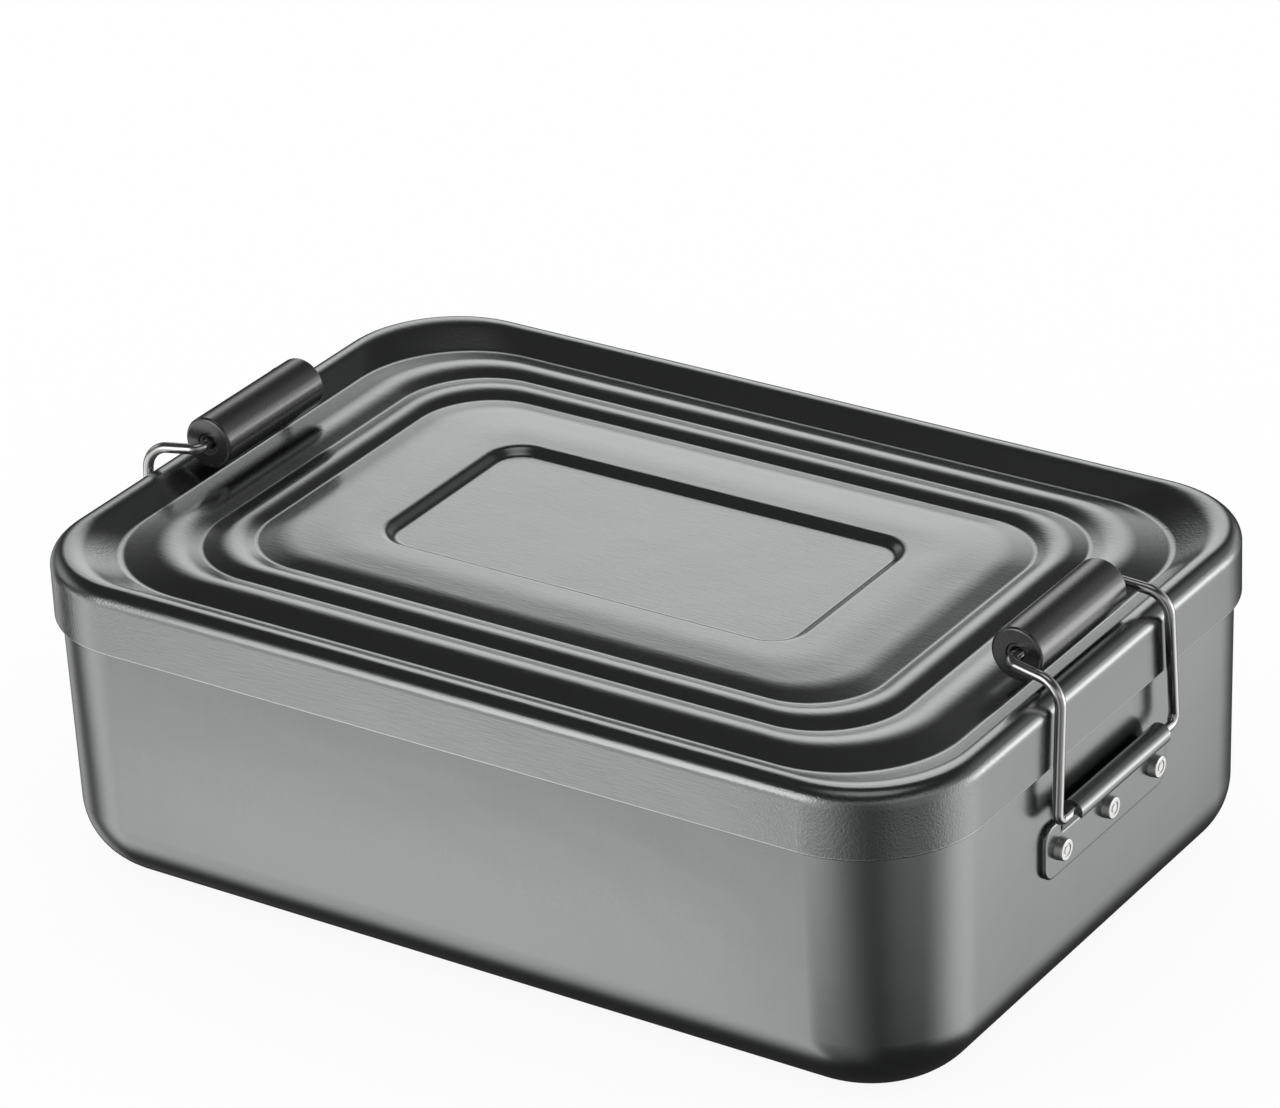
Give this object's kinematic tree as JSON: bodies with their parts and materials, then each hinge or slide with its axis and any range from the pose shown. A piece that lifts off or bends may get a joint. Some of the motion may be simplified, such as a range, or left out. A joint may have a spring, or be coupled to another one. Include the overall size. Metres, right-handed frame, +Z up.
{
  "type": "metal lunch box",
  "caption": "Rectangular drawn aluminium lunch box with an embossed lift-off lid, clamped at each short end by a swinging wire bail with a black roller.",
  "frame": {"origin": "middle of the flat base, on the surface that the box stands on", "axes": "+X along the box towards one of the clips, +Y across it, +Z up through the lid"},
  "size_m": [0.226, 0.15, 0.0826],
  "materials": {
    "anthracite_aluminium": "satin anodised, anthracite grey",
    "steel_wire": "bright drawn wire",
    "black_plastic": "matt black, fine grain",
    "bare_aluminium": "bare, lightly burnished"
  },
  "bodies": {
    "pan": {"box_pan": "anthracite_aluminium", "hinge_plate_right": "anthracite_aluminium", "hinge_plate_left": "anthracite_aluminium", "rivet_right_front": "bare_aluminium", "rivet_right_middle": "bare_aluminium", "rivet_right_back": "bare_aluminium", "rivet_left_front": "bare_aluminium", "rivet_left_middle": "bare_aluminium", "rivet_left_back": "bare_aluminium"},
    "lid": {"lid": "anthracite_aluminium"},
    "bail_right": {"wire_bail_right": "steel_wire"},
    "bail_left": {"wire_bail_left": "steel_wire"},
    "roller_right": {"roller_right": "black_plastic"},
    "roller_left": {"roller_left": "black_plastic"}
  },
  "joints": [
    {"name": "lid_lift", "type": "slide", "parent": "pan", "child": "lid", "axis": [0, 0, 1], "range_m": [0, 0.0125]},
    {"name": "clip_right_swing", "type": "hinge", "parent": "pan", "child": "bail_right", "pos_m": [0.1106, 0, 0.0459], "axis": [0, 1, 0], "range_deg": [0, 165]},
    {"name": "clip_left_swing", "type": "hinge", "parent": "pan", "child": "bail_left", "pos_m": [-0.1106, 0, 0.0459], "axis": [0, -1, 0], "range_deg": [0, 165]},
    {"name": "roller_right_spin", "type": "hinge", "parent": "bail_right", "child": "roller_right", "pos_m": [0.098, 0, 0.0768], "axis": [0, 1, 0], "continuous": true},
    {"name": "roller_left_spin", "type": "hinge", "parent": "bail_left", "child": "roller_left", "pos_m": [-0.098, 0, 0.0768], "axis": [0, 1, 0], "continuous": true}
  ],
  "couplings": [
    {"joint": "clip_right_swing", "follows": "lid_lift", "rad_per_m": 230.38},
    {"joint": "clip_left_swing", "follows": "lid_lift", "rad_per_m": 230.38}
  ]
}
